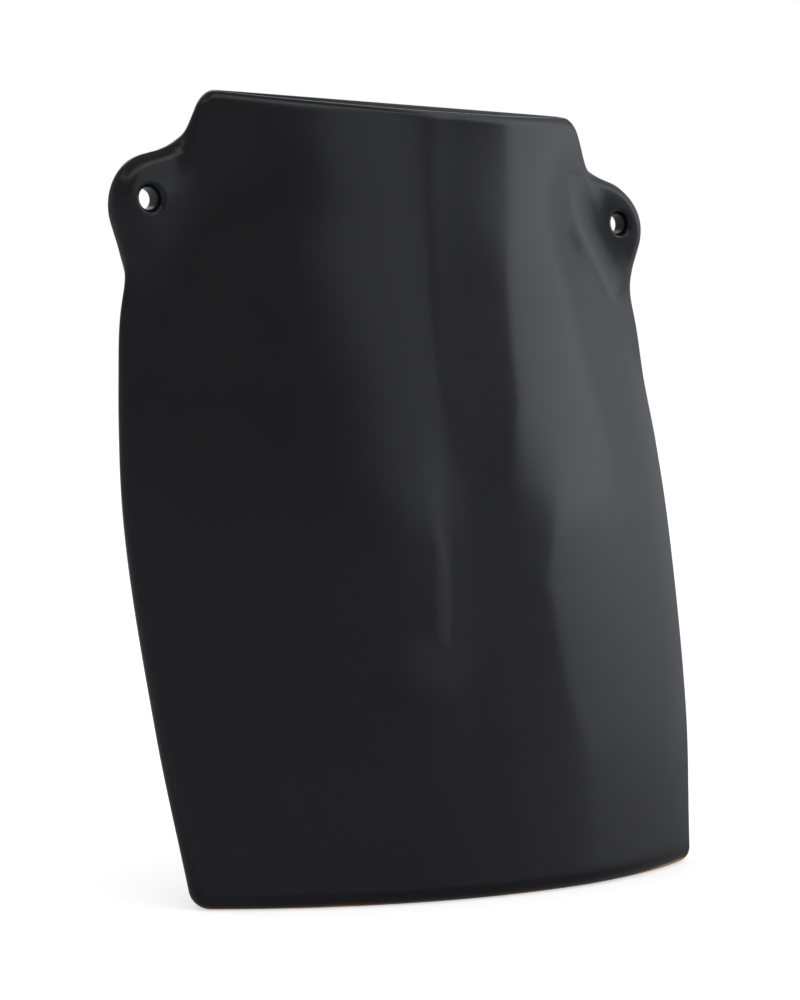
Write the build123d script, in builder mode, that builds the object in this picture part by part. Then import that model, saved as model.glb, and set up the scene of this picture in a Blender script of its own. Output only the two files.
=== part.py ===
import os
from math import cos, pi, radians, sin, tan

from build123d import *

# A wall vase of black glazed stoneware: a pouch of two clay slabs on a floor slab, hung by two ear lugs.
# The origin is on the wall plane, midway between the two hanging holes. The front faces -Y and +Z is up.
# Heights are measured from the base, depths from the wall plane towards the front.

# Overall sizes
vase_height = 300.0  # back rim above the base
hole_drop = 43.0  # hanging holes below the back rim
hole_spacing = 220.0  # from one hanging hole to the other
hole_diameter = 8.0  # passes the shank of a wall screw or a cord

# Clay
wall = 5.5  # thickness of the front and back slabs
seam_wall = 9.0  # clay at the side seams, where both slabs are pinched together
inner_seam_radius = 1.5  # rounding inside the side seams
floor_thickness = 9.0
foot_radius = 6.0  # rounding around the foot
back_bow = 8.0  # bow of the back slab that is trued flat against the wall

# Base of the pouch
base_half_width = 115.0
base_seam_depth = 48.0
base_front_depth = 86.0
base_seam_radius = 7.0  # outer rounding of the side seams

# Hip, between the base and the belly
hip_height = 62.0
hip_half_width = 122.0
hip_seam_depth = 37.0
hip_front_depth = 79.0
hip_seam_radius = 6.0

# Belly, the widest slice
belly_height = 135.0
belly_half_width = 126.0
belly_seam_depth = 20.0
belly_front_depth = 67.0
belly_seam_radius = 5.5

# Waist, just under the ears
waist_drop = 29.0  # below the hanging holes
waist_half_width = 117.5
waist_seam_depth = 6.5
waist_front_depth = 42.0
waist_seam_radius = 4.0

# Shoulder, level with the hanging holes
shoulder_half_width = 98.5
shoulder_seam_depth = 6.0
shoulder_front_depth = 34.0
shoulder_seam_radius = 4.0

# Neck
neck_drop = 12.0  # below the back rim
neck_half_width = 90.6
neck_seam_depth = 6.0
neck_front_depth = 26.5
neck_seam_radius = 4.0

# Mouth
rim_spare = 6.0  # clay above the back rim that the slanted cut of the mouth takes off
mouth_half_width = 83.0
mouth_seam_depth = 6.0
mouth_front_depth = 24.0
mouth_seam_radius = 4.0
lip_drop = 5.0  # front lip below the back rim
rim_corner_radius = 8.0  # rounding of the two ends of the mouth, seen from the front

# Ear lugs
lug_thickness = 10.0
lug_radius = 21.0  # of the round outer end
lug_inset = 7.3  # middle of the round end, in from the hanging hole
lug_sink = 2.5  # middle of the round end, below the hanging hole
lug_slope = 18.5  # fall of the ear's upper edge, in degrees
lug_root = 10.0  # how far the lug reaches in behind the side seam
lug_edge_radius = 5.0  # rounding of the front edge
lug_back_radius = 1.0  # rounding of the edge against the wall
hole_edge_radius = 3.5  # soft rounding of the hole's front edge

hole_height = vase_height - hole_drop
waist_height = hole_height - waist_drop
neck_height = vase_height - neck_drop
wall_top = vase_height + rim_spare

# Stations of the pouch, from the base up: height, half width, seam depth, front depth, seam radius
stations = [
    (floor_thickness, base_half_width, base_seam_depth, base_front_depth, base_seam_radius),
    (hip_height, hip_half_width, hip_seam_depth, hip_front_depth, hip_seam_radius),
    (belly_height, belly_half_width, belly_seam_depth, belly_front_depth, belly_seam_radius),
    (waist_height, waist_half_width, waist_seam_depth, waist_front_depth, waist_seam_radius),
    (hole_height, shoulder_half_width, shoulder_seam_depth, shoulder_front_depth, shoulder_seam_radius),
    (neck_height, neck_half_width, neck_seam_depth, neck_front_depth, neck_seam_radius),
    (wall_top, mouth_half_width, mouth_seam_depth, mouth_front_depth, mouth_seam_radius),
]
body_slices = 6  # level slices from the floor to the waist, evenly spaced
neck_slices = 5  # level slices from the waist to the mouth, evenly spaced


def rate(index, column):
    """How fast a size changes with height at a station, from the stations on both sides."""
    below = stations[max(index - 1, 0)]
    above = stations[min(index + 1, len(stations) - 1)]
    return (above[column] - below[column]) / (above[0] - below[0])


def size_at(height, column):
    """A size of the pouch at any height, on a smooth curve through the stations."""
    index = max(i for i in range(len(stations) - 1) if stations[i][0] <= height)
    below, above = stations[index], stations[index + 1]
    span = above[0] - below[0]
    t = (height - below[0]) / span
    return (
        below[column] * (1 + 2 * t) * (1 - t) ** 2
        + above[column] * t**2 * (3 - 2 * t)
        + rate(index, column) * span * t * (1 - t) ** 2
        - rate(index + 1, column) * span * t**2 * (1 - t)
    )


def levels(bottom, top, count):
    """Evenly spaced heights with the sizes of the pouch there."""
    heights = [bottom + (top - bottom) * step / (count - 1) for step in range(count)]
    return [(height, *[size_at(height, column) for column in (1, 2, 3, 4)]) for height in heights]


body_levels = levels(floor_thickness, waist_height, body_slices)
neck_levels = levels(waist_height, wall_top, neck_slices)
rim_z = vase_height - hole_height
rim_half_width = size_at(vase_height, 1)
corner_height = 2 * rim_corner_radius  # of the slice in which the ends of the mouth are rounded
corner_half_width = size_at(vase_height - corner_height, 1)
wall_plane = Plane.XZ
mouth_plane = Plane(
    origin=(0, 0, rim_z),
    x_dir=(1, 0, 0),
    z_dir=(0, -lip_drop, mouth_front_depth),
)


def seam_tangent(half_width, bulge, radius):
    """Where a bulging arc meets the round seam, measured from the middle and from the seam's level."""
    reach = half_width - radius
    arc_radius = (reach**2 + bulge**2 - radius**2) / (2 * (bulge - radius))
    return (
        reach * arc_radius / (arc_radius - radius),
        radius * (arc_radius - bulge) / (arc_radius - radius),
    )


def lens(height, half_width, seam_depth, front_depth, back_depth, radius):
    """A level slice of the pouch: a front arc and a back arc that meet in two round seams."""
    front_x, front_rise = seam_tangent(half_width, front_depth - seam_depth, radius)
    back_x, back_rise = seam_tangent(half_width, seam_depth - back_depth, radius)
    front_y = -seam_depth - front_rise
    back_y = -seam_depth + back_rise
    with BuildSketch(Plane.XY.offset(height - hole_height)) as outline:
        with BuildLine():
            ThreePointArc((-front_x, front_y), (0, -front_depth), (front_x, front_y))
            ThreePointArc((front_x, front_y), (half_width, -seam_depth), (back_x, back_y))
            ThreePointArc((back_x, back_y), (0, -back_depth), (-back_x, back_y))
            ThreePointArc((-back_x, back_y), (-half_width, -seam_depth), (-front_x, front_y))
        make_face()
    return outline.sketch


def outer_slices(level_sizes):
    return [
        lens(height, half_width, seam_depth, front_depth, -back_bow, radius)
        for height, half_width, seam_depth, front_depth, radius in level_sizes
    ]


def inner_slices(level_sizes):
    return [
        lens(
            height,
            half_width - seam_wall,
            seam_depth,
            front_depth - wall,
            wall - back_bow,
            inner_seam_radius,
        )
        for height, half_width, seam_depth, front_depth, _ in level_sizes
    ]


# The pouch as if it were solid clay
with BuildPart() as pouch:
    loft(outer_slices(body_levels))
    loft(outer_slices(neck_levels))
    split(bisect_by=wall_plane, keep=Keep.TOP)
    split(bisect_by=mouth_plane, keep=Keep.BOTTOM)
    with BuildSketch(wall_plane):
        with Locations((0, rim_z)):
            Rectangle(4 * rim_half_width, 2 * corner_height)
        with BuildSketch(wall_plane, mode=Mode.SUBTRACT) as mouth_end:
            Polygon(
                (-corner_half_width, rim_z - corner_height),
                (corner_half_width, rim_z - corner_height),
                (rim_half_width, rim_z),
                (-rim_half_width, rim_z),
                align=None,
            )
            fillet(mouth_end.vertices().group_by(Axis.Y)[-1], rim_corner_radius)
    extrude(amount=2 * mouth_front_depth, mode=Mode.SUBTRACT)

# The space inside it, one wall in from every side
with BuildPart() as hollow:
    loft(inner_slices(body_levels))
    loft(inner_slices(neck_levels))
    split(bisect_by=wall_plane.offset(wall), keep=Keep.TOP)

# Everything in front of the two side seams
with BuildPart() as front_side:
    with BuildSketch(Plane.YZ):
        with BuildLine():
            seam = Spline(*[(-depth, height - hole_height) for height, _, depth, _, _ in stations])
            far = -2 * base_front_depth
            Polyline(seam @ 1, (far, (seam @ 1).Y), (far, (seam @ 0).Y), seam @ 0)
        make_face()
    extrude(amount=2 * belly_half_width, both=True)

# The floor slab carries on the slope of the walls down to the foot, which is rounded in a quarter circle
lean = (base_seam_depth - hip_seam_depth) / (hip_height - floor_thickness)
foot_turns = [(floor_thickness, 0.0)] + [
    (foot_radius * (1 - cos(turn)), foot_radius * (1 - sin(turn))) for turn in (pi / 2, pi / 3, pi / 6, 0)
]
foot_slices = [
    lens(
        height,
        base_half_width - inset,
        base_seam_depth + lean * (floor_thickness - height),
        base_front_depth + lean * (floor_thickness - height) / 2 - inset,
        inset - back_bow,
        base_seam_radius - inset,
    )
    for height, inset in foot_turns
]
with BuildPart() as floor_slab:
    loft(foot_slices)
    split(bisect_by=wall_plane, keep=Keep.TOP)

with BuildPart() as front_wall:
    add(pouch.part)
    add(hollow.part, mode=Mode.SUBTRACT)
    add(front_side.part, mode=Mode.INTERSECT)

with BuildPart() as back_wall:
    add(pouch.part)
    add(hollow.part, mode=Mode.SUBTRACT)
    add(front_side.part, mode=Mode.SUBTRACT)

# The right ear lug is a tab with a round outer end. Its upper edge runs in to the neck and its lower edge
# to the waist, and its root fills the wedge behind the side seam of the pouch.
root_x = neck_half_width - lug_root
waist_z = waist_height - hole_height
lug_x = hole_spacing / 2 - lug_inset
slope = radians(lug_slope)
lug_shoulder = lug_radius / cos(slope) + (lug_x - root_x) * tan(slope) - lug_sink
with BuildPart() as right_lug:
    with BuildSketch(wall_plane):
        with BuildLine():
            CenterArc((lug_x, -lug_sink), lug_radius, 180, 360)
            Polyline((root_x, lug_shoulder), (root_x, waist_z), (waist_half_width, waist_z))
        make_hull()
    extrude(amount=lug_thickness)
    fillet(right_lug.edges().filter_by(wall_plane).group_by(Axis.Y)[0], lug_edge_radius)
    fillet(right_lug.edges().filter_by(wall_plane).group_by(Axis.Y)[-1], lug_back_radius)
    with BuildSketch(wall_plane):
        with Locations((hole_spacing / 2, 0)):
            Circle(hole_diameter / 2)
    extrude(amount=lug_thickness, mode=Mode.SUBTRACT)
    fillet(right_lug.edges(Select.LAST).sort_by(Axis.Y)[0], hole_edge_radius)
    add(pouch.part, mode=Mode.SUBTRACT)

with BuildPart() as left_lug:
    mirror(right_lug.part, about=Plane.YZ)

pieces = {
    "floor_slab": floor_slab.part,
    "back_wall": back_wall.part,
    "front_wall": front_wall.part,
    "left_lug": left_lug.part,
    "right_lug": right_lug.part,
}
os.makedirs("parts", exist_ok=True)
for name, piece in pieces.items():
    piece.label = name
    export_step(piece, f"parts/{name}.step")
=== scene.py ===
# %% [markdown]
# A wall vase of black stoneware
#
# The vase is a flat pouch of clay with a narrow mouth. Two ears with a hole each hang it on a wall. A
# potter makes it from slabs: a bellied front, a flat back, a floor and two ears, joined with wet clay and
# glazed together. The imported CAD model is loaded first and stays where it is. Every piece made below takes
# the place of one CAD piece, in the same frame: metres, +Z up, the wall at Y = 0 and the front facing -Y.

from math import cos, pi, radians, sin

import bmesh
import bpy
import numpy as np
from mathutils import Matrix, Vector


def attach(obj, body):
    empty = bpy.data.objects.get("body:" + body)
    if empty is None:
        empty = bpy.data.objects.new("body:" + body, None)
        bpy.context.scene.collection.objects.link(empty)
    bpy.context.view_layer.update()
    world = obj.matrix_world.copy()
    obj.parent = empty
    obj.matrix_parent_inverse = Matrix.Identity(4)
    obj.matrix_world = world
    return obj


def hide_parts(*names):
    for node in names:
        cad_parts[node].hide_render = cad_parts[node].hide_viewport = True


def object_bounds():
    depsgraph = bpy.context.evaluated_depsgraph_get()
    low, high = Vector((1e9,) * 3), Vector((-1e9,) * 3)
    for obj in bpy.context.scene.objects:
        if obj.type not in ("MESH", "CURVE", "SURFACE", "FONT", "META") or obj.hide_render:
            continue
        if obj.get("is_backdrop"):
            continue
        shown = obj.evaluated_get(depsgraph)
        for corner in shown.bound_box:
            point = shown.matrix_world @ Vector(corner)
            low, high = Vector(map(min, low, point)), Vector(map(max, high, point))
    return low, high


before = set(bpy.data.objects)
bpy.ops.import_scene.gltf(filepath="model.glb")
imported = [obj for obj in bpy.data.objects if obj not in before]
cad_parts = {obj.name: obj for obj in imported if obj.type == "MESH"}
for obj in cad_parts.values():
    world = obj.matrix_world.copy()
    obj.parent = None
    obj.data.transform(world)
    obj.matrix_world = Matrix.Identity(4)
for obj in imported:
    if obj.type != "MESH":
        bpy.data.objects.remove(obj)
cad_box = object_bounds()
print("CAD pieces:", sorted(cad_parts))
print("CAD box in metres:", [[round(v, 4) for v in corner] for corner in cad_box])


# %% [markdown]
# Colours and nodes
#
# Colours are written as sRGB hex values, as a paint chart gives them, but Blender's shaders work in linear
# light. One function does that change. A second one adds a node to a tree, with its settings and its links,
# so that each material below reads from top to bottom like a recipe. A third one starts an empty material.

# %% Helpers for node trees
def linear(hex_colour):
    """A colour such as "8a8a8a" in linear light, with alpha 1."""
    channels = [int(hex_colour[i:i + 2], 16) / 255 for i in (0, 2, 4)]
    return [c / 12.92 if c <= 0.04045 else ((c + 0.055) / 1.055) ** 2.4 for c in channels] + [1.0]


def add_node(tree, kind, settings, inputs):
    """Adds a node. An input given as a socket of another node is linked, any other is set."""
    node = tree.nodes.new(kind)
    for name, value in settings.items():
        setattr(node, name, value)
    for name, value in inputs.items():
        if isinstance(value, bpy.types.NodeSocket):
            tree.links.new(value, node.inputs[name])
        else:
            node.inputs[name].default_value = value
    return node


def new_material(name):
    """An empty material, its node tree and its output node."""
    material = bpy.data.materials.new(name)
    material.use_nodes = True
    material.node_tree.nodes.clear()
    output = add_node(material.node_tree, "ShaderNodeOutputMaterial", {}, {})
    return material, material.node_tree, output


print("linear light of mid grey 808080:", round(linear("808080")[0], 3))


# %% [markdown]
# The glaze
#
# Satin black stoneware glaze is a thin coat of coloured glass, dulled by fine crystals. To the eye it is
# nearly black, with a soft wide sheen and no sharp reflections. Under the sheen it is never quite even: the
# surface has a faint orange-peel ripple and the sheen drifts a little where the glaze lies thicker. Down
# the belly runs a narrow streak that ends in a small patch, both a little greyer. That streak is a painted
# highlight: a lighter colour in the glaze that stands in for soft light mirrored along the ridge there.

# %% Where the highlight is painted
mm = 0.001
streak_lean, streak_shift = -0.112, 3.9 * mm  # the streak's middle leans with height
highlight_patch_middle, highlight_patch_reach = (-26 * mm, -79 * mm, -169 * mm), (22 * mm, 25 * mm, 18 * mm)


def painted_highlight(tree, place):
    """Mask of the painted highlight: 1 in the middle of the streak, nearly 1 in the patch it ends in, softly
    down to 0 elsewhere.
    """
    axes = add_node(tree, "ShaderNodeSeparateXYZ", {}, {"Vector": place}).outputs
    slant = add_node(
        tree, "ShaderNodeMath", {"operation": "MULTIPLY_ADD"},
        {0: axes["Z"], 1: streak_lean, 2: streak_shift},
    ).outputs[0]
    aside = add_node(tree, "ShaderNodeMath", {"operation": "ADD"}, {0: axes["X"], 1: slant}).outputs[0]
    aside = add_node(tree, "ShaderNodeMath", {"operation": "ABSOLUTE"}, {0: aside}).outputs[0]
    streak = 1.0
    for value, low, high, start in [
        (aside, 1.6, 4.6, 1.0),  # soft sides
        (axes["Y"], -50, -40, 1.0),  # on the front only
        (axes["Z"], -174, -160, 0.0),  # lower end
        (axes["Z"], -140, -106, 1.0),  # upper end
    ]:
        share = add_node(
            tree, "ShaderNodeMapRange", {"interpolation_type": "SMOOTHSTEP"},
            {
                "Value": value, "From Min": low * mm, "From Max": high * mm,
                "To Min": start, "To Max": 1 - start,
            },
        ).outputs["Result"]
        streak = add_node(
            tree, "ShaderNodeMath", {"operation": "MULTIPLY"}, {0: streak, 1: share}
        ).outputs[0]
    highlight_patch_place = add_node(
        tree, "ShaderNodeMapping", {"vector_type": "TEXTURE"},
        {"Vector": place, "Location": highlight_patch_middle, "Scale": highlight_patch_reach},
    ).outputs[0]
    highlight_patch_way = add_node(tree, "ShaderNodeVectorMath", {"operation": "LENGTH"}, {0: highlight_patch_place})
    highlight_patch = add_node(
        tree, "ShaderNodeMapRange", {"interpolation_type": "SMOOTHSTEP"},
        {
            "Value": highlight_patch_way.outputs["Value"], "From Min": 0.1, "From Max": 1.0,
            "To Min": 0.9, "To Max": 0.0,
        },
    ).outputs["Result"]
    return add_node(tree, "ShaderNodeMath", {"operation": "MAXIMUM"}, {0: streak, 1: highlight_patch}).outputs[0]


print("streak leans", round(-streak_lean * 100, 1), "mm to the right for each 100 mm up")

# %% Satin black glaze
drift_width, ripple_width = 45 * mm, 2.4 * mm


def glaze_nodes(tree):
    """The colour, roughness and bump of the black glaze, from Object coordinates in metres."""
    place = add_node(tree, "ShaderNodeTexCoord", {}, {}).outputs["Object"]
    drift = add_node(
        tree, "ShaderNodeTexNoise", {}, {"Vector": place, "Scale": 1 / drift_width, "Detail": 3.0}
    ).outputs["Fac"]
    ripple = add_node(
        tree, "ShaderNodeTexNoise", {}, {"Vector": place, "Scale": 1 / ripple_width, "Detail": 2.0}
    ).outputs["Fac"]
    even = add_node(
        tree, "ShaderNodeMix", {"data_type": "RGBA"},
        {"Factor": drift, "A": linear("0f0f10"), "B": linear("151516")},
    ).outputs["Result"]
    # Painted highlight: the streak and its patch get a greyer colour, standing in for light mirrored on the
    # ridge
    colour = add_node(
        tree, "ShaderNodeMix", {"data_type": "RGBA"},
        {"Factor": painted_highlight(tree, place), "A": even, "B": linear("212123")},
    ).outputs["Result"]
    rough = add_node(
        tree, "ShaderNodeMapRange", {},
        {"Value": drift, "From Min": 0.3, "From Max": 0.7, "To Min": 0.20, "To Max": 0.25},
    ).outputs["Result"]
    bump = add_node(
        tree, "ShaderNodeBump", {}, {"Height": ripple, "Strength": 0.05, "Distance": 0.3 * mm}
    ).outputs["Normal"]
    return colour, rough, bump


# To the eye: nearly black, with a soft wide sheen and a faint ripple
black_glaze, tree, output = new_material("satin_black_stoneware_glaze")
glaze_colour, glaze_rough, glaze_bump = glaze_nodes(tree)
surface = add_node(
    tree, "ShaderNodeBsdfPrincipled", {},
    {"Base Color": glaze_colour, "Roughness": glaze_rough, "Normal": glaze_bump, "IOR": 1.5},
)
tree.links.new(surface.outputs["BSDF"], output.inputs["Surface"])
print("made", black_glaze.name)


# %% [markdown]
# The bare foot
#
# Glaze melts in the kiln and would stick the vase to the shelf, so the potter wipes it off the foot. Under
# the vase the tan stoneware is bare and dull. It shows as a thin line round the foot, a little higher where
# the sponge went higher, and just above the line the glaze is thin and breaks to a reddish brown. One
# material does it all: the height above the foot chooses between clay, brown and black.

# %% Black glaze with a bare clay foot
hole_height = 257.0  # the hanging holes above the base, in millimetres
wiping_width, grog_width = 25 * mm, 0.9 * mm

# To the eye: the black glaze, and under it a reddish brown edge and a dull tan line
glazed_foot, tree, output = new_material("satin_black_glaze_over_bare_stoneware_foot")
glaze_colour, glaze_rough, glaze_bump = glaze_nodes(tree)
place = add_node(tree, "ShaderNodeTexCoord", {}, {}).outputs["Object"]
axes = add_node(tree, "ShaderNodeSeparateXYZ", {}, {"Vector": place}).outputs
wiping = add_node(
    tree, "ShaderNodeTexNoise", {}, {"Vector": place, "Scale": 1 / wiping_width, "Detail": 2.0}
).outputs["Fac"]
wiped_right = add_node(
    tree, "ShaderNodeMapRange", {"interpolation_type": "SMOOTHSTEP"},
    {"Value": axes["X"], "From Min": 50 * mm, "From Max": 105 * mm, "To Min": 0.0, "To Max": 1.5 * mm},
).outputs["Result"]
line_height = add_node(
    tree, "ShaderNodeMath", {"operation": "MULTIPLY_ADD"}, {0: wiping, 1: 1.3 * mm, 2: wiped_right}
).outputs[0]
above_foot = add_node(
    tree, "ShaderNodeMath", {"operation": "ADD"}, {0: axes["Z"], 1: hole_height * mm}
).outputs[0]
above_line = add_node(
    tree, "ShaderNodeMath", {"operation": "SUBTRACT"}, {0: above_foot, 1: line_height}
).outputs[0]
glazed = add_node(
    tree, "ShaderNodeMapRange", {}, {"Value": above_line, "From Min": -0.15 * mm, "From Max": 0.15 * mm}
).outputs["Result"]
thick = add_node(
    tree, "ShaderNodeMapRange", {}, {"Value": above_line, "From Min": 0.0, "From Max": 1.2 * mm}
).outputs["Result"]
broken = add_node(
    tree, "ShaderNodeMix", {"data_type": "RGBA"},
    {"Factor": thick, "A": linear("40261a"), "B": glaze_colour},
).outputs["Result"]
coat = add_node(
    tree, "ShaderNodeBsdfPrincipled", {},
    {"Base Color": broken, "Roughness": glaze_rough, "Normal": glaze_bump, "IOR": 1.5},
).outputs[0]
grog = add_node(
    tree, "ShaderNodeTexNoise", {}, {"Vector": place, "Scale": 1 / grog_width, "Detail": 2.0}
).outputs["Fac"]
clay_colour = add_node(
    tree, "ShaderNodeMix", {"data_type": "RGBA"},
    {"Factor": grog, "A": linear("a87c4c"), "B": linear("d8b07c")},
).outputs["Result"]
bare = add_node(
    tree, "ShaderNodeBsdfPrincipled", {}, {"Base Color": clay_colour, "Roughness": 0.85}
).outputs[0]
surface = add_node(tree, "ShaderNodeMixShader", {}, {"Fac": glazed, 1: bare, 2: coat})
tree.links.new(surface.outputs[0], output.inputs["Surface"])
print("made", glazed_foot.name)


# %% [markdown]
# The shape of the pouch
#
# Cut level at any height, the pouch is a lens: a front arc and a back arc that meet in two round side
# seams. Four sizes describe the cut, and they change smoothly with height. They are given at a few heights
# and joined by a smooth curve. Lengths here are millimetres: heights from the base, depths from the wall to
# the front.

# %% Sizes of the pouch at any height
floor_height = 9.0
wall, seam_wall, back_bow = 5.5, 9.0, 8.0
stations = np.array([
    # height, half width, seam depth, front depth, seam radius
    (9.0, 115.0, 48.0, 86.0, 7.0),
    (62.0, 122.0, 37.0, 79.0, 6.0),
    (135.0, 126.0, 20.0, 67.0, 5.5),
    (190.0, 122.8, 9.8, 53.0, 4.7),
    (228.0, 117.3, 6.3, 42.0, 4.0),
    (257.0, 98.5, 6.0, 34.0, 4.0),
    (288.0, 90.6, 6.0, 26.5, 4.0),
    (306.0, 82.0, 6.0, 24.0, 4.0),
])
spans = np.diff(stations[:, 0])
below = [max(i - 1, 0) for i in range(len(stations))]
above = [min(i + 1, len(spans)) for i in range(len(stations))]
rates = (stations[above, 1:] - stations[below, 1:]) / (stations[above, :1] - stations[below, :1])


def sizes_at(height):
    """Half width, seam depth, front depth and seam radius at each height; straight on below the stations."""
    height = np.asarray(height, float)
    i = np.clip(np.searchsorted(stations[:, 0], height, side="right") - 1, 0, len(spans) - 1)
    span = spans[i][..., None]
    t = ((height - stations[i, 0]) / spans[i])[..., None]
    low, high = stations[i, 1:], stations[i + 1, 1:]
    curve = (
        low * (1 + 2 * t) * (1 - t) ** 2 + high * t**2 * (3 - 2 * t)
        + rates[i] * span * t * (1 - t) ** 2 - rates[i + 1] * span * t**2 * (1 - t)
    )
    straight = low + rates[i] * span * t
    return np.moveaxis(np.where(t < 0, straight, curve), -1, 0)


print("half width at the belly:", round(float(sizes_at(135.0)[0]), 1), "mm")


# %% [markdown]
# The clay as a distance
#
# Where an ear grows out of the pouch, the clay runs in a soft hollow and there is no edge. Such a joint is
# easy to make if each form is written as a distance: negative inside the clay, positive outside and zero on
# the surface. Two distances are joined by a minimum that is rounded where they are nearly equal, and the
# surface is then found by halving: a point inside and a point outside move together until they meet on it.

# %% Helpers for distances
halvings = 40


def ease(t):
    """From 0 to 1, starting and ending gently."""
    t = np.clip(t, 0, 1)
    return t * t * (3 - 2 * t)


def smooth_min(a, b, k):
    """The smaller of two distances, rounded where they differ by less than 1.5 k."""
    near = np.maximum(1 - np.abs(a - b) / (1.5 * k), 0)
    return np.minimum(a, b) - near**3 * k / 4


def meet(distance, point, inside, outside):
    """Halves the way between an inside and an outside value; point(value) gives the place to measure."""
    inside, outside = np.broadcast_arrays(np.asarray(inside, float), np.asarray(outside, float))
    for _ in range(halvings):
        middle = (inside + outside) / 2
        within = distance(*point(middle)) < 0
        inside, outside = np.where(within, middle, inside), np.where(within, outside, middle)
    return (inside + outside) / 2


def lens_distance(x, depth, half_width, seam_depth, front_depth, back_depth, radius):
    """Distance to a lens-shaped slice, measured in its plane."""
    x = np.abs(x)
    reach = half_width - radius
    front_bulge, back_bulge = front_depth - seam_depth, seam_depth - back_depth
    front_radius = (reach**2 + front_bulge**2 - radius**2) / (2 * (front_bulge - radius))
    back_radius = (reach**2 + back_bulge**2 - radius**2) / (2 * (back_bulge - radius))
    front_middle, back_middle = front_depth - front_radius, back_depth + back_radius
    to_front = np.hypot(x, depth - front_middle) - front_radius
    to_back = np.hypot(x, depth - back_middle) - back_radius
    to_seam = np.hypot(x - reach, depth - seam_depth) - radius
    in_front = reach * (depth - front_middle) > x * (seam_depth - front_middle)
    behind = reach * (depth - back_middle) < x * (seam_depth - back_middle)
    between = np.where(behind, np.maximum(to_front, to_back), to_front)
    return np.where(in_front, between, np.where(behind, to_back, to_seam))


print("smallest of 1 and 1, rounded by 2:", smooth_min(1.0, 1.0, 2.0))


# %% [markdown]
# Traces of the hand
#
# A slab that is lifted, bent and pressed on by hand is never a true arc. Soft ridges, less than a
# millimetre high, stay in its front, and a glossy glaze shows them, because each one bends the reflections.
# Beside the ears the slab is pressed back, where the potter worked the joint. A ridge is a path up the slab
# with a rise and a width on both sides, so all four come from one short rule.

# %% Ridges in the front and the hollow beside the ears
ridges = [
    # heights and x of the path, heights and rise of the crest, width left and right, roundness of the crest
    (  # up the middle
        ([184, 205, 221, 240, 259, 275, 291], [-12, -11.2, -10.1, -6.5, -4.4, -1.8, 2.4]),
        ([155, 190, 230, 300], [0.0, 0.5, 0.65, 0.5]), 32, 12, 0.3,
    ),
    (  # under the streak
        ([84, 91, 104, 117, 134, 145], [-22.8, -21.7, -20.4, -19, -19.9, -20.5]),
        ([84, 92, 130, 152], [0.0, 0.25, 0.25, 0.0]), 10, 9, 0.35,
    ),
    (  # upper right
        ([134, 152, 171, 183, 206, 229, 261, 290], [19, 16.3, 21, 25.5, 27.4, 30.6, 38.9, 42.1]),
        ([128, 150, 185, 230, 300], [0.0, 0.5, 0.85, 0.9, 0.9]), 26, 36, 0.12,
    ),
    (  # lower right
        ([12, 50, 73, 96, 116, 133, 145, 156, 175], [44, 43.7, 35.2, 31.2, 28.8, 36.2, 39.4, 41.2, 40.4]),
        ([12, 60, 110, 145, 180], [0.35, 0.5, 0.8, 0.7, 0.0]), 26, 36, 0.12,
    ),
]
root_sink, sink_x, sink_run = 5.0, 58, 44
sink_bottom, sink_climb, sink_top, sink_fall = 165, 80, 296, 36
sink_start, sink_depth = 1, 14


def ridge(x, height, path, rise, left, right, crest):
    """A soft ridge up the slab. Its path gives x at some heights, its rise the height of its crest there."""
    middle = np.interp(height, path[0], path[1])
    away = np.abs(x - middle) / np.where(x < middle, left, right)
    away = np.sqrt(away**2 + crest**2) - crest
    return np.interp(height, rise[0], rise[1]) * np.clip(1 - away, 0, 1) ** 2


def relief(x, height):
    """How far the front slab stands proud of the smooth arc."""
    return sum(ridge(x, height, *numbers) for numbers in ridges)


def sink(x, depth, height):
    """How far the pouch is pressed back towards the wall beside the ears."""
    outwards = ease((np.abs(x) - sink_x) / sink_run)
    beside = outwards * ease((height - sink_bottom) / sink_climb) * ease((sink_top - height) / sink_fall)
    return root_sink * beside * ease((depth - sink_start) / sink_depth)


tallest = relief(*np.meshgrid(np.arange(-120.0, 121.0), np.arange(10.0, 301.0))).max()
print("the ridges stand up to", round(float(tallest), 2), "mm proud")

# %% Distances to an ear, to the whole vase and to the space inside
lug_thickness, lug_edge, lug_lean = 10.0, 5.5, 3.5  # the lean makes the upper edge thinner
lug_dome, dome_run = 1.0, 14  # the face falls by this much over this way to the edge
lobe_x, lobe_height, lobe_radius = 102.7, 254.5, 21.0
shoulder_arm = (-cos(radians(18.5)), sin(radians(18.5)), 20.0)  # its way in x and height, its length
under_arm = (-sin(radians(20.0)), -cos(radians(20.0)), 11.0)
edge_blend, face_blend, face_start, face_run = 8.6, 7.0, 5, 8
relief_run, wall_edge, inner_seam_radius = 9, 2.0, 1.5


def ear_distance(x, depth, height):
    """Distance to an ear: a thick tab with a round lobe that runs on into the shoulder and the waist."""
    x, z = np.abs(x) - lobe_x, height - lobe_height
    outline = np.inf
    for way_x, way_z, reach in (shoulder_arm, under_arm):
        along = np.clip(x * way_x + z * way_z, 0, reach)
        outline = np.minimum(outline, np.hypot(x - along * way_x, z - along * way_z) - lobe_radius)
    dome = lug_dome * np.clip(1 + outline / dome_run, 0, 1) ** 2
    thickness = lug_thickness - dome - lug_lean * np.clip(z / lobe_radius, 0, 1) ** 2
    a, b = outline + lug_edge, np.abs(depth) - thickness + lug_edge
    return np.minimum(np.maximum(a, b), 0) + np.hypot(np.maximum(a, 0), np.maximum(b, 0)) - lug_edge


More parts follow.
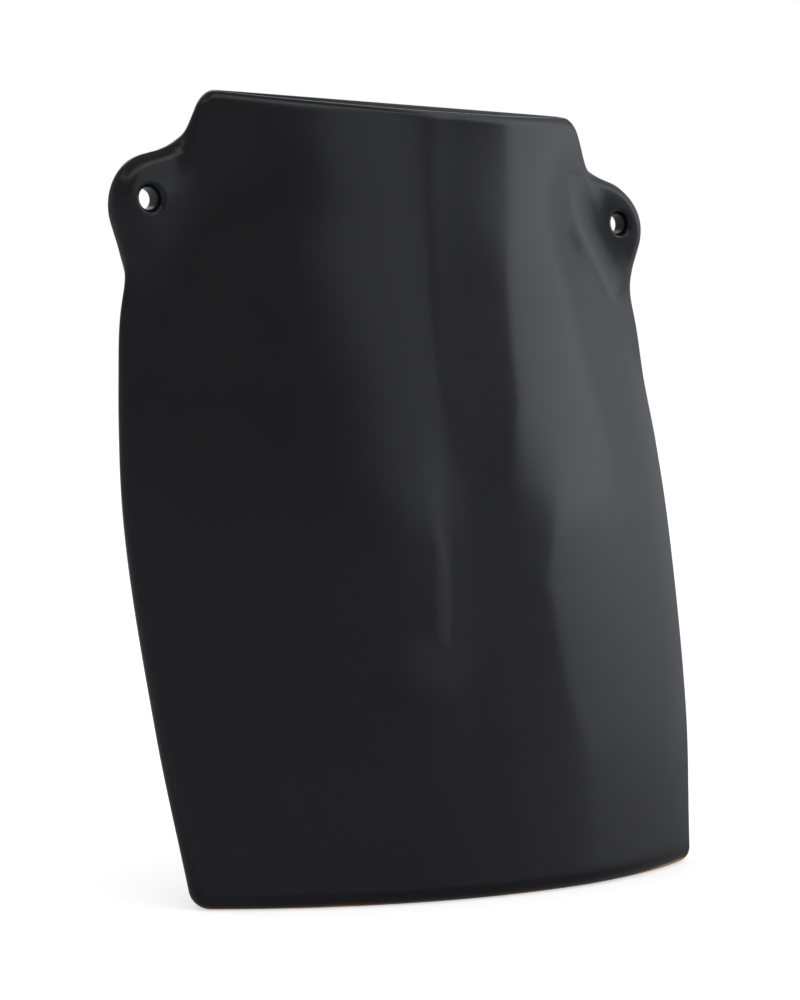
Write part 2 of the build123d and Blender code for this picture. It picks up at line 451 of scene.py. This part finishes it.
def clay_distance(x, depth, height):
    """Distance to the outside of the whole vase: pouch and ears, trued flat against the wall."""
    half_width, seam_depth, front_depth, radius = sizes_at(height)
    pressed = depth + sink(x, depth, height)
    pouch = lens_distance(x, pressed, half_width, seam_depth, front_depth, -back_bow, radius)
    pouch = pouch - ease((depth - seam_depth) / relief_run) * relief(x, height)
    blend = edge_blend + (face_blend - edge_blend) * np.clip((depth - face_start) / face_run, 0, 1)
    clay = smooth_min(pouch, ear_distance(x, depth, height), blend)
    return -smooth_min(-clay, depth, wall_edge)


def cavity_distance(x, depth, height):
    """Distance to the space inside the pouch."""
    half_width, seam_depth, front_depth, _ = sizes_at(height)
    inside = lens_distance(
        x, depth, half_width - seam_wall, seam_depth, front_depth - wall, wall - back_bow, inner_seam_radius
    )
    return np.maximum(inside, wall - depth)


deepest = float(ear_distance(lobe_x, 0.0, lobe_height))
print("distance in the middle of an ear, inside the clay:", round(deepest, 2), "mm")


# %% [markdown]
# Rows and columns
#
# The walls are grids. Rows run round the vase at a height, columns run up it. The outermost columns turn
# round the side seam or the ear's edge, so they crowd together there. Between two rows beside the ear those
# outer columns belong to the ear, and everywhere else they belong to the walls. Above the ears the rows
# bend to follow the lip.

# %% The common grid of one half
ear_bottom, ear_top, level_top = 236.0, 281.0, 284.0
body_columns, seam_columns = 70, 14
row_heights = np.concatenate([
    np.linspace(floor_height, 222.0, 86)[:-1],
    np.linspace(222.0, ear_bottom, 13)[:-1],
    np.linspace(ear_bottom, 262.0, 27)[:-1],
    np.linspace(262.0, ear_top, 39)[:-1],
    np.linspace(ear_top, level_top, 6),
])
first_ear_row = int(np.argmin(np.abs(row_heights - ear_bottom)))
last_ear_row = int(np.argmin(np.abs(row_heights - ear_top)))
column_count = body_columns + seam_columns + 1
level_rows = np.repeat(row_heights[:, None], column_count, axis=1)
body_share = np.concatenate([np.linspace(0, 1, body_columns + 1), np.ones(seam_columns)])
seam_turn = np.concatenate([np.zeros(body_columns + 1), np.linspace(0, 1, seam_columns + 1)[1:]])
print("grid of one half:", level_rows.shape, "ear rows", first_ear_row, "to", last_ear_row)

# %% The outline seen from the front
outline_tries, past_edge, peak_width = 29, 60, 0.02


def outline_at(height):
    """The outline of the vase seen from the front: its half width and the depth at which it is reached."""
    half_width, seam_depth, _, radius = sizes_at(height)
    depth = seam_depth[:, None] + radius[:, None] * np.linspace(-0.7, 0.7, outline_tries)
    level = np.repeat(height[:, None], outline_tries, axis=1)
    start = np.repeat((half_width - radius)[:, None], outline_tries, axis=1)
    reached = meet(clay_distance, lambda x: (x, depth, level), start, start + past_edge)
    weight = np.exp((reached - reached.max(axis=1, keepdims=True)) / peak_width)
    depth = (depth * weight).sum(axis=1) / weight.sum(axis=1)
    start = start[:, 0]
    return meet(clay_distance, lambda x: (x, depth, height), start, start + past_edge), depth


outline_heights = np.arange(0.0, 300.0, 0.25)
outline_width, outline_depth = outline_at(outline_heights)


def columns_at(height):
    """For a grid of heights: x of every column on the outside, and the depth of the outline."""
    half_width, _, _, radius = sizes_at(height)
    edge = np.interp(height, outline_heights, outline_width)
    edge_depth = np.interp(height, outline_heights, outline_depth)
    root = half_width - radius
    return root * body_share + (edge - root) * np.sin(pi / 2 * seam_turn), edge_depth


print("widest half of the outline:", round(float(outline_width.max()), 1), "mm")


# %% [markdown]
# Skins
#
# A skin is one side of a wall: for each place of the grid, the depth at which the clay ends. The walls get
# an outer skin and an inner skin, and a round lip that joins them over the top. The front lip is a little
# lower than the back rim, because the mouth was cut on a slant, and at the ends of the mouth both lips run
# together.

# %% Skins of the walls
before_front, before_inside, behind_wall = 12, 6, -4.0  # starts outside the clay
inner_turn = 0.015  # share of the inner width that turns round the seam
rim_height, lip_drop, lip_reach = 300.0, 5.0, 24.0
lip_steps, lip_rows, lip_sample, lip_height = 14, 6, 294.0, 1.4  # the lip's height is in half thicknesses


def outer_skin(height, front, side):
    """x and depth of the outside at each place of the grid, on the right (side 1) or the left (side -1)."""
    x, edge_depth = columns_at(height)
    beyond = sizes_at(height)[2] + before_front if front else np.full_like(x, behind_wall)
    depth = meet(clay_distance, lambda d: (side * x, d, height), edge_depth, beyond)
    depth[:, -1] = edge_depth[:, -1]
    return side * x, depth


def inner_skin(height, front, side):
    """x and depth of the inside at each place of the grid."""
    half_width, seam_depth, front_depth, _ = sizes_at(height)
    turned = 1 - inner_turn * (1 - np.sin(pi / 2 * seam_turn))
    x = (half_width - seam_wall) * np.where(seam_turn > 0, turned, body_share * (1 - inner_turn))
    beyond = front_depth + before_inside if front else np.zeros_like(x)
    depth = meet(cavity_distance, lambda d: (x, d, height), seam_depth, beyond)
    depth[:, -1] = seam_depth[:, -1]
    return side * x, depth


def half_wall(front, side):
    """Rows of points up the outside, over the lip and down the inside, for one half of a wall."""
    near_top = np.full((1, column_count), lip_sample)
    outer_x, outer_depth = outer_skin(near_top, front, side)
    inner_x, inner_depth = inner_skin(near_top, front, side)
    thick = np.hypot(outer_x - inner_x, outer_depth - inner_depth)[0] / 2
    top = rim_height - lip_drop * (outer_depth + inner_depth)[0] / 2 / lip_reach
    lip = lip_height * thick
    climb = np.linspace(0, 1, lip_rows + 1)[1:, None]
    height = np.vstack([level_rows, level_top + (top - lip - level_top) * climb])
    outer = np.stack([*outer_skin(height, front, side), height], -1)
    inner = np.stack([*inner_skin(height, front, side), height], -1)
    lean = (outer[-1] - outer[-2]) / (outer[-1] - outer[-2])[:, 2:]
    middle, half = (outer[-1] + inner[-1]) / 2, (outer[-1] - inner[-1]) / 2
    round_over = [
        middle + half * cos(pi * s / lip_steps) + lean * (lip * sin(pi * s / lip_steps))[:, None]
        for s in range(1, lip_steps)
    ]
    return outer, np.array(round_over), inner


def whole_wall(front):
    """The same rows from the left end to the right end."""
    halves = zip(half_wall(front, -1), half_wall(front, 1))
    return [np.concatenate([left[:, :0:-1], right], axis=1) for left, right in halves]


front_outer, front_lip, front_inner = whole_wall(True)
back_outer, back_lip, back_inner = whole_wall(False)
lip_tops = [round(float(lip[..., 2].max()), 1) for lip in (front_lip, back_lip)]
print("front lip and back rim:", lip_tops, "mm high")


# %% [markdown]
# From points to a piece
#
# A grid of points becomes faces row by row. The helper below keeps a list of points and a list of faces,
# and in the end makes one closed mesh with its faces pointing outwards. Points are turned from millimetres
# (x, depth, height) to metres in the frame of the CAD model. A glossy surface shows every unevenness of its
# shading, most of all where two pieces meet, so on the outside the shading follows the distance itself and
# not the flat faces.

# %% A small mesh builder
probe, on_skin = 0.2, 0.01  # in millimetres
weld, crease = 0.002 * mm, radians(40)


def to_frame(points):
    """Points in millimetres (x, depth, height) as metres in the frame of the CAD model."""
    return points * [mm, -mm, mm] - [0, 0, hole_height * mm]


def skin_normals(mesh):
    """The way out of the clay at each point on its outside; zero, which means unchanged, at all others."""
    points = np.array([v.co for v in mesh.vertices]) + [0, 0, hole_height * mm]
    x, depth, height = (points / [mm, -mm, mm]).T
    slope = [
        clay_distance(x + a, depth + b, height + c) - clay_distance(x - a, depth - b, height - c)
        for a, b, c in ((probe, 0, 0), (0, -probe, 0), (0, 0, probe))
    ]
    normals = np.stack(slope, -1) / np.linalg.norm(slope, axis=0)[:, None]
    return np.where(np.abs(clay_distance(x, depth, height))[:, None] < on_skin, normals, 0.0)


def close_mesh(mesh, name):
    """Welds points that coincide, turns the faces outwards, shades them and counts the open edges."""
    work = bmesh.new()
    work.from_mesh(mesh)
    bmesh.ops.remove_doubles(work, verts=work.verts, dist=weld)
    bmesh.ops.delete(work, geom=[v for v in work.verts if not v.link_faces], context="VERTS")
    bmesh.ops.recalc_face_normals(work, faces=work.faces)
    open_edges = sum(1 for e in work.edges if len(e.link_faces) != 2)
    work.to_mesh(mesh)
    work.free()
    mesh.shade_smooth()
    mesh.set_sharp_from_angle(angle=crease)
    print("made", name, "with", len(mesh.polygons), "faces, open edges:", open_edges)


class Clay:
    """Points and faces of a piece in the making."""

    def __init__(self):
        self.points, self.faces = [], []

    def add(self, points):
        """Adds an array of points and returns their numbers in the same layout."""
        points = np.asarray(points, float)
        start = len(self.points)
        self.points.extend(points.reshape(-1, 3))
        return np.arange(start, len(self.points)).reshape(points.shape[:-1])

    def strip(self, grid, keep=lambda row, column: True):
        """A face for each four neighbours of a grid of point numbers."""
        for r in range(grid.shape[0] - 1):
            for c in range(grid.shape[1] - 1):
                if keep(r, c):
                    self.faces.append((grid[r, c], grid[r, c + 1], grid[r + 1, c + 1], grid[r + 1, c]))

    def piece(self, name, material):
        """One closed mesh object of all faces."""
        points = to_frame(np.array(self.points))
        mesh = bpy.data.meshes.new(name)
        mesh.from_pydata(points.tolist(), [], [[int(i) for i in face] for face in self.faces])
        close_mesh(mesh, name)
        mesh.normals_split_custom_set_from_vertices(skin_normals(mesh))
        mesh.materials.append(material)
        thing = bpy.data.objects.new(name, mesh)
        bpy.context.scene.collection.objects.link(thing)
        return thing


print("the middle of the holes in the frame:", to_frame(np.array([0, 0, hole_height])).tolist())


# %% [markdown]
# Front wall and back wall
#
# Each wall is one loop of rows: up its outside, over the lip and down its inside. At both sides the loop is
# closed by the face along which the two slabs are pressed together. Beside the ears that face steps in,
# because there the ear takes over the outside.

# %% The two walls
def make_wall(name, outer, lip, inner):
    """One wall of the pouch, from the rows of its skins and its lip."""
    clay = Clay()
    outside, over, inside = clay.add(outer), clay.add(lip), clay.add(inner)
    middle = column_count - 1
    root = body_columns

    def on_wall(row, column):
        beside_ear = first_ear_row <= row < last_ear_row
        past_root = column < middle - root or column >= middle + root
        return not (beside_ear and past_root)

    loop = np.concatenate([outside, over, inside[::-1], outside[:1]])
    clay.strip(loop, lambda row, column: row >= len(outside) - 1 or on_wall(row, column))
    half_width, seam_depth, _, radius = sizes_at(outer[:, -1, 2])
    for side in (-1, 1):
        seam_line = np.stack([side * (half_width - radius), seam_depth, outer[:, -1, 2]], -1)
        seam = clay.add(seam_line)
        edge, turn = middle + side * middle, middle + side * root
        for r in range(len(outside) - 1):
            out = turn if first_ear_row <= r < last_ear_row else edge
            clay.faces.append((outside[r, out], outside[r + 1, out], seam[r + 1], seam[r]))
            clay.faces.append((seam[r], seam[r + 1], inside[r + 1, edge], inside[r, edge]))
        for r in (first_ear_row, last_ear_row):
            clay.faces.append([outside[r, c] for c in range(turn, edge + side, side)] + [seam[r]])
        clay.faces.append([outside[-1, edge], *over[:, edge], inside[-1, edge], seam[-1]])
        clay.faces.append((outside[0, edge], seam[0], inside[0, edge]))
    return clay.piece(name, black_glaze)


front_wall = make_wall("vase_front_wall", front_outer, front_lip, front_inner)
back_wall = make_wall("vase_back_wall", back_outer, back_lip, back_inner)


# %% [markdown]
# Ears
#
# An ear is a ring of clay about its hole. Spokes run from the hole out to the ear's border: the root where
# it grows out of the pouch, and the round outer edge. Each spoke goes over the front, round the border,
# over the back and through the hole, so the ear is closed like a ring. Its root uses the same points as the
# wall beside it. A finger smoothed the front edge of the hole, so it flares softly.

# %% The two ears
hole_x, hole_radius = 110.0, 4.0
hole_flare, hole_flare_depth, flare_steps = 2.6, 4.0, 10
hole_back_edge, back_edge_steps = 1.2, 4
ear_core, before_ear, face_steps = 3.5, 40.0, 24  # a depth inside the ear and one in front of it


def make_ear(name, side):
    """One ear, on the right (side 1) or on the left (side -1)."""
    rows = np.arange(first_ear_row, last_ear_row + 1)
    ring = [(r, body_columns) for r in rows]
    ring += [(last_ear_row, c) for c in range(body_columns + 1, column_count)]
    ring += [(r, column_count - 1) for r in rows[::-1][1:]]
    ring += [(first_ear_row, c) for c in range(column_count - 2, body_columns, -1)]
    middle = column_count - 1
    front_border, back_border = [
        np.array([outer[r, middle + side * c] for r, c in ring]) * [side, 1, 1]
        for outer in (front_outer, back_outer)
    ]
    x, height = front_border[:, 0], front_border[:, 2]
    reach = np.hypot(x - hole_x, height - hole_height)
    way_x, way_z = (x - hole_x) / reach, (height - hole_height) / reach

    def face(radius, front):
        px, pz = hole_x + radius * way_x, hole_height + radius * way_z
        inside = np.full_like(px, ear_core)
        beyond = np.full_like(px, before_ear if front else behind_wall)
        return px, meet(clay_distance, lambda d: (px, d, pz), inside, beyond), pz

    spokes = []
    for step in range(flare_steps + 1):
        turn = pi / 2 * step / flare_steps
        px, depth, pz = face(hole_radius + hole_flare * (1 - cos(turn)), True)
        spokes.append(np.stack([px, depth - hole_flare_depth * (1 - sin(turn)), pz], -1))
    flat = hole_radius + hole_flare
    shares = np.sin(pi / 2 * np.linspace(0, 1, face_steps + 1)[1:-1])
    spokes += [np.stack(face(flat + (reach - flat) * s, True), -1) for s in shares]
    spokes += [front_border, back_border]
    spokes += [np.stack(face(flat + (reach - flat) * s, False), -1) for s in shares[::-1]]
    spokes.append(np.stack(face(flat, False), -1))
    for step in range(back_edge_steps + 1):
        turn = pi / 2 * step / back_edge_steps
        px, depth, pz = face(hole_radius + hole_back_edge * (1 - sin(turn)), False)
        spokes.append(np.stack([px, depth + hole_back_edge * (1 - cos(turn)), pz], -1))
    clay = Clay()
    grid = clay.add(np.array(spokes) * [side, 1, 1])
    grid = np.concatenate([grid, grid[:, :1]], axis=1)
    clay.strip(np.concatenate([grid, grid[:1]]))
    return clay.piece(name, black_glaze)


left_lug = make_ear("vase_left_lug", -1)
right_lug = make_ear("vase_right_lug", 1)


# %% [markdown]
# The floor slab
#
# The floor closes the pouch. Its edge carries on the lines of the walls and turns under in a quarter
# circle, the foot. That is one rule for every point of the outline, so Geometry Nodes make it: the outline
# is swept along a short row of steps, and each step moves its points down and inwards. The outline comes
# from the walls' lowest row, with three attributes on its points: its place, the way out, and how the wall
# leans for each metre down.

# %% The outline of the floor
def base_loop(height):
    """The lowest outline of the walls, once round: the front from left to right, the back to the left."""
    level = np.full((1, column_count), height)
    left_front, right_front, left_back, right_back = [
        np.stack([*outer_skin(level, front, side), level], -1)[0]
        for front in (True, False) for side in (-1, 1)
    ]
    return to_frame(np.concatenate([left_front[:0:-1], right_front, right_back[-2::-1], left_back[1:-1]]))


place = base_loop(floor_height)
lean = (base_loop(floor_height - 1.0) - place + [0, 0, mm]) / mm
tangent = np.roll(place, -1, axis=0) - np.roll(place, 1, axis=0)
outward = np.stack([tangent[:, 1], -tangent[:, 0], 0 * tangent[:, 0]], -1)
outward /= np.linalg.norm(outward, axis=1, keepdims=True)
count = len(place)
floor_mesh = bpy.data.meshes.new("vase_floor_slab")
floor_mesh.from_pydata(place.tolist(), [(i, (i + 1) % count) for i in range(count)], [])
for name, values in {"place": place, "lean": lean, "outward": outward}.items():
    floor_mesh.attributes.new(name, "FLOAT_VECTOR", "POINT").data.foreach_set("vector", values.ravel())
floor_slab = bpy.data.objects.new("vase_floor_slab", floor_mesh)
bpy.context.scene.collection.objects.link(floor_slab)
print("outline of", count, "points")

# %% The rule of the foot: its inputs and its profile
rule = bpy.data.node_groups.new("round_foot", "GeometryNodeTree")
inputs = {
    name: rule.interface.new_socket(name, in_out="INPUT", socket_type="NodeSocket" + kind).identifier
    for name, kind in [
        ("Outline", "Geometry"), ("Thickness", "Float"), ("Foot Radius", "Float"), ("Steps", "Int"),
        ("Middle", "Vector"), ("Material", "Material"),
    ]
}
rule.interface.new_socket("Slab", in_out="OUTPUT", socket_type="NodeSocketGeometry")
given = add_node(rule, "NodeGroupInput", {}, {}).outputs
thickness, foot_radius = given["Thickness"], given["Foot Radius"]
straight = add_node(
    rule, "ShaderNodeMath", {"operation": "SUBTRACT"}, {0: thickness, 1: foot_radius}
).outputs[0]
edge_end, bend_middle, foot_end, under_end = [
    add_node(rule, "ShaderNodeCombineXYZ", {}, ends).outputs[0]
    for ends in [
        {"Y": straight},
        {"X": foot_radius, "Y": straight},
        {"X": foot_radius, "Y": thickness},
        {"X": foot_radius, "Y": thickness, "Z": 1.0},
    ]
]
quarter = add_node(
    rule, "GeometryNodeCurveArc", {},
    {"Resolution": given["Steps"], "Radius": foot_radius, "Start Angle": pi, "Sweep Angle": -pi / 2},
).outputs["Curve"]
top, edge, under = [
    add_node(rule, "GeometryNodeCurvePrimitiveLine", {}, {"Start": start, "End": end}).outputs[0]
    for start, end in [((0, 0, 1), (0, 0, 0)), ((0, 0, 0), edge_end), (foot_end, under_end)]
]
bend = add_node(
    rule, "GeometryNodeTransform", {}, {"Geometry": quarter, "Translation": bend_middle}
).outputs[0]
profile_parts = [top, edge, bend, under]
joined = add_node(rule, "GeometryNodeJoinGeometry", {}, {})
for part in profile_parts:
    rule.links.new(part, joined.inputs["Geometry"])
position = add_node(rule, "GeometryNodeInputPosition", {}, {}).outputs[0]
profile = add_node(
    rule, "GeometryNodeStoreNamedAttribute", {"data_type": "FLOAT_VECTOR"},
    {"Geometry": joined.outputs[0], "Name": "step", "Value": position},
).outputs[0]
print("profile of", len(profile_parts), "stretches")

# %% The rule of the foot: sweep the outline and move each step
loop = add_node(rule, "GeometryNodeMeshToCurve", {}, {"Mesh": given["Outline"]}).outputs[0]
swept = add_node(
    rule, "GeometryNodeCurveToMesh", {}, {"Curve": loop, "Profile Curve": profile}
).outputs[0]
held = {
    name: add_node(
        rule, "GeometryNodeInputNamedAttribute", {"data_type": "FLOAT_VECTOR"}, {"Name": name}
    ).outputs["Attribute"]
    for name in ("place", "lean", "outward", "step")
}
step = add_node(rule, "ShaderNodeSeparateXYZ", {}, {0: held["step"]}).outputs
sunk = add_node(
    rule, "ShaderNodeVectorMath", {"operation": "SCALE"}, {0: held["lean"], "Scale": step["Y"]}
).outputs[0]
drawn_in = add_node(
    rule, "ShaderNodeVectorMath", {"operation": "SCALE"}, {0: held["outward"], "Scale": step["X"]}
).outputs[0]
leaned = add_node(
    rule, "ShaderNodeVectorMath", {"operation": "ADD"}, {0: held["place"], 1: sunk}
).outputs[0]
turned = add_node(
    rule, "ShaderNodeVectorMath", {"operation": "SUBTRACT"}, {0: leaned, 1: drawn_in}
).outputs[0]
middle_here = add_node(
    rule, "ShaderNodeMix", {"data_type": "VECTOR"}, {"Factor": step["Z"], "A": turned, "B": given["Middle"]}
).outputs["Result"]
down = add_node(rule, "ShaderNodeCombineXYZ", {}, {"Z": step["Y"]}).outputs[0]
moved = add_node(
    rule, "ShaderNodeVectorMath", {"operation": "SUBTRACT"}, {0: middle_here, 1: down}
).outputs[0]
shaped = add_node(rule, "GeometryNodeSetPosition", {}, {"Geometry": swept, "Position": moved}).outputs[0]
welded = add_node(
    rule, "GeometryNodeMergeByDistance", {}, {"Geometry": shaped, "Distance": 0.01 * mm}
).outputs[0]
real = add_node(rule, "GeometryNodeRealizeInstances", {}, {"Geometry": welded}).outputs[0]
painted = add_node(
    rule, "GeometryNodeSetMaterial", {}, {"Geometry": real, "Material": given["Material"]}
).outputs[0]
add_node(rule, "NodeGroupOutput", {}, {"Slab": painted})
print("rule of", len(rule.nodes), "nodes")


# %% The floor slab as a plain mesh
def apply_nodes(thing, group, values):
    """Runs a node group on an object and keeps the result as its plain mesh, faces pointing outwards."""
    modifier = thing.modifiers.new(group.name, "NODES")
    modifier.node_group = group
    for name, value in values.items():
        modifier[inputs[name]] = value
    result = bpy.data.meshes.new_from_object(thing.evaluated_get(bpy.context.evaluated_depsgraph_get()))
    thing.modifiers.clear()
    result.name = thing.name
    thing.data = result
    close_mesh(result, thing.name)


apply_nodes(floor_slab, rule, {
    "Thickness": floor_height * mm, "Foot Radius": 6.0 * mm, "Steps": 10,
    "Middle": (0.0, -0.043, (floor_height - hole_height) * mm), "Material": glazed_foot,
})

# %% [markdown]
# The pieces take their places
#
# The whole vase is one fired body that hangs still, so every piece rides on the root. Each one stands for
# the CAD piece of the same name and keeps its material slot, so a user of the part can give the vase
# another glaze.

# %% Pieces in the place of the CAD pieces
pieces = {
    "front_wall": front_wall, "back_wall": back_wall, "left_lug": left_lug, "right_lug": right_lug,
    "floor_slab": floor_slab,
}
for node, piece in pieces.items():
    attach(piece, "root")
    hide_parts(node)
print("pieces placed:", len(pieces))


# %% [markdown]
# A white stage
#
# The vase stands on white paper in a bright room, so that nothing but the vase has a tone. The paper is
# real: it takes the shadow of the foot. A camera would print it a little grey, so the part of it that is
# seen gets some light of its own, and the room behind it is plain white. Neither puts more light on the
# vase.

# %% Paper and room
scene = bpy.context.scene
scene.view_settings.view_transform = "Standard"
base_z = -hole_height * mm


def seen_rays(tree):
    """1 for rays that see: from the camera, from a reflection or through glass. 0 for rays that light."""
    path = add_node(tree, "ShaderNodeLightPath", {}, {}).outputs
    seen = path["Is Camera Ray"]
    for kind in ("Is Glossy Ray", "Is Transmission Ray"):
        seen = add_node(
            tree, "ShaderNodeMath", {"operation": "MAXIMUM"}, {0: seen, 1: path[kind]}
        ).outputs[0]
    return seen


# To the eye: an even white that takes a soft shadow under the foot
paper, tree, output = new_material("white_studio_paper")
lift = add_node(tree, "ShaderNodeMath", {"operation": "MULTIPLY"}, {0: seen_rays(tree), 1: 0.52})
sheet = add_node(tree, "ShaderNodeBsdfDiffuse", {}, {"Color": linear("f2f2f2")})
white = add_node(tree, "ShaderNodeEmission", {}, {"Strength": lift.outputs[0]})
surface = add_node(tree, "ShaderNodeAddShader", {}, {0: sheet.outputs[0], 1: white.outputs[0]})
tree.links.new(surface.outputs[0], output.inputs["Surface"])
bpy.ops.mesh.primitive_plane_add(size=40, location=(0, 0, base_z))
floor = bpy.context.object
floor.name = "studio_floor"
floor.data.materials.append(paper)
floor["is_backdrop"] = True

world = bpy.data.worlds.new("studio")
scene.world = world
world.use_nodes = True
tree = world.node_tree
tree.nodes.clear()
level = add_node(tree, "ShaderNodeMapRange", {}, {"Value": seen_rays(tree), "To Min": 0.7, "To Max": 1.0})
sky = add_node(
    tree, "ShaderNodeBackground", {}, {"Color": (1, 1, 1, 1), "Strength": level.outputs["Result"]}
)
add_node(tree, "ShaderNodeOutputWorld", {}, {"Surface": sky.outputs[0]})
print("stage:", floor.name, "with", paper.name)


# %% [markdown]
# What the glaze reflects
#
# A black glossy thing has hardly a colour of its own: the eye reads its shape from what it mirrors. In a
# white room it would mirror white everywhere and look grey, so photographers put dark and grey screens
# round it. Here a round screen stands about the vase, dark on the left, bright on the right and softly
# graded between. A dark card hangs over it and a dark flag lies on the paper. All of them are seen by
# reflections only.

# %% Cards that only reflections see
light_colour = linear("eff1f9")


def reflection_card(name, points, faces, glow):
    """A glowing card that only reflections see. Glow is its brightness, for all points or for each one."""
    # To the eye: only a tone mirrored in the glaze
    material, tree, output = new_material(name)
    level = add_node(tree, "ShaderNodeAttribute", {"attribute_name": "glow"}, {}).outputs["Fac"]
    light = add_node(tree, "ShaderNodeEmission", {}, {"Color": light_colour, "Strength": level})
    tree.links.new(light.outputs[0], output.inputs["Surface"])
    mesh = bpy.data.meshes.new(name)
    mesh.from_pydata(points, [], faces)
    values = np.broadcast_to(np.asarray(glow, float), len(points))
    mesh.attributes.new("glow", "FLOAT", "POINT").data.foreach_set("value", values.copy())
    mesh.materials.append(material)
    card = bpy.data.objects.new(name, mesh)
    scene.collection.objects.link(card)
    card.visible_camera = card.visible_diffuse = card.visible_shadow = False
    card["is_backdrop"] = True
    print("made", name, "with", len(points), "points")


ceiling = [(-1.4, -0.7, 2.1), (1.4, -0.7, 2.1), (1.4, 3.0, 2.1), (-1.4, 3.0, 2.1)]
reflection_card("dark_ceiling", ceiling, [(0, 1, 2, 3)], 0.22)

# %% The round screen and the flag on the paper
screen_radius, screen_top = 2.2, 2.6
screen_tones = np.array([
    # turn from the front in degrees, brightness low down, brightness high up
    (-200, 0.70, 0.90), (-184, 0.70, 0.90), (-176, 0.21, 0.22), (10, 0.21, 0.22), (36, 0.28, 0.27),
    (52, 0.28, 0.32), (58, 0.32, 0.95), (72, 0.34, 1.03), (84, 0.34, 0.90), (95, 0.34, 0.62),
    (105, 0.34, 0.48), (130, 0.33, 0.32), (138, 0.70, 0.90), (160, 0.70, 0.90),
]).T
turns, heights = np.meshgrid(
    np.linspace(-200, 160, 181), np.linspace(base_z + 0.01, screen_top, 60), indexing="ij"
)
low, high = [np.interp(turns, screen_tones[0], tones) for tones in screen_tones[1:]]
rise = np.clip((heights + 0.30) / 0.45, 0, 1)
glow = low + (high - low) * rise + 0.09 * np.clip((0.95 - heights) / 0.45, 0, 1)
around = np.radians(turns)
screen = np.stack([screen_radius * np.sin(around), -screen_radius * np.cos(around), heights], -1)
number = np.arange(turns.size).reshape(turns.shape)
corners = np.stack([number[:-1, :-1], number[1:, :-1], number[1:, 1:], number[:-1, 1:]], -1)
reflection_card(
    "grey_screen", screen.reshape(-1, 3).tolist(), corners.reshape(-1, 4).tolist(), glow.ravel()
)

# This flag is painted shade in the reflections: it darkens the paper that the foot mirrors, most of all in
# its middle next to the foot, where it stands in for the shadow round the foot
flag_z, flag_rings, flag_sides = base_z + 0.3 * mm, (0.4, screen_radius), 24
flag = [(0.0, -0.04, flag_z)]
flag += [(r * sin(a), r * cos(a), flag_z) for r in flag_rings for a in np.radians(range(0, 360, 15))]
following = [(i + 1) % flag_sides for i in range(flag_sides)]
fans = [(0, 1 + i, 1 + j) for i, j in enumerate(following)]
bands = [(1 + i, 1 + flag_sides + i, 1 + flag_sides + j, 1 + j) for i, j in enumerate(following)]
reflection_card("dark_floor_flag", flag, fans + bands, [0.16] + [0.36] * 2 * flag_sides)


# %% [markdown]
# Soft lights
#
# A large soft light stands on the right. Its picture in the glaze is the wide pale band down the right
# side, and the left edge of that band shows how the slab bends. A tall one stands in front and above and
# gives the softer band in the middle. A narrow strip below it picks out the small ridge in the belly.

# %% Softboxes
light_distance = 1.9


def softbox(name, shape, azimuth, elevation, width, height, radiance):
    """A soft light that faces the vase. Azimuth 0 is straight in front, 90 on the right."""
    light = bpy.data.lights.new(name, "AREA")
    light.shape, light.size, light.size_y = shape, width, height
    light.energy = radiance * pi * width * height * (pi / 4 if shape == "ELLIPSE" else 1)
    light.color = light_colour[:3]
    lamp = bpy.data.objects.new(name, light)
    scene.collection.objects.link(lamp)
    a, e = radians(azimuth), radians(elevation)
    lamp.location = [light_distance * way for way in (sin(a) * cos(e), -cos(a) * cos(e), sin(e))]
    lamp.rotation_euler = pi / 2 - e, 0, a
    print("made", name, "of", round(light.energy, 2), "W")


softbox("right_softbox", "RECTANGLE", 69, 25, 1.0, 1.25, 0.5)
softbox("front_softbox", "ELLIPSE", 23, 37, 0.80, 1.69, 0.48)
softbox("strip_softbox", "RECTANGLE", 25.5, 13.0, 0.14, 0.46, 0.95)


# %% [markdown]
# The camera
#
# The picture is taken from the front and well to the left, about level with the middle of the vase and from
# a little over a metre away. A long lens keeps the upright lines nearly parallel. Place, turn and lens were
# found by laying the outline of the model's body over the outline of the real vase.

# %% Camera
lens = bpy.data.cameras.new("camera")
lens.lens = 105.9
camera = bpy.data.objects.new("camera", lens)
scene.collection.objects.link(camera)
camera.location = (-0.6441, -0.9576, -0.0802)
camera.rotation_euler = (radians(88.398), radians(-0.343), radians(-34.239))
scene.camera = camera
print("camera", lens.lens, "mm,", round(camera.location.length, 2), "m from the middle of the holes")


# %% [markdown]
# Sizes, and done
#
# The pieces were made after the CAD model and must fill the same box. The corners of the new box are
# compared with those of the CAD box and the shifts are printed, so that a slip in a size is seen at once.

# %% Compare the sizes and finish
new_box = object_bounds()
growth = [round((b - a) / mm, 2) for old, new in zip(cad_box, new_box) for a, b in zip(old, new)]
print("corners moved from the CAD box, in mm:", growth)
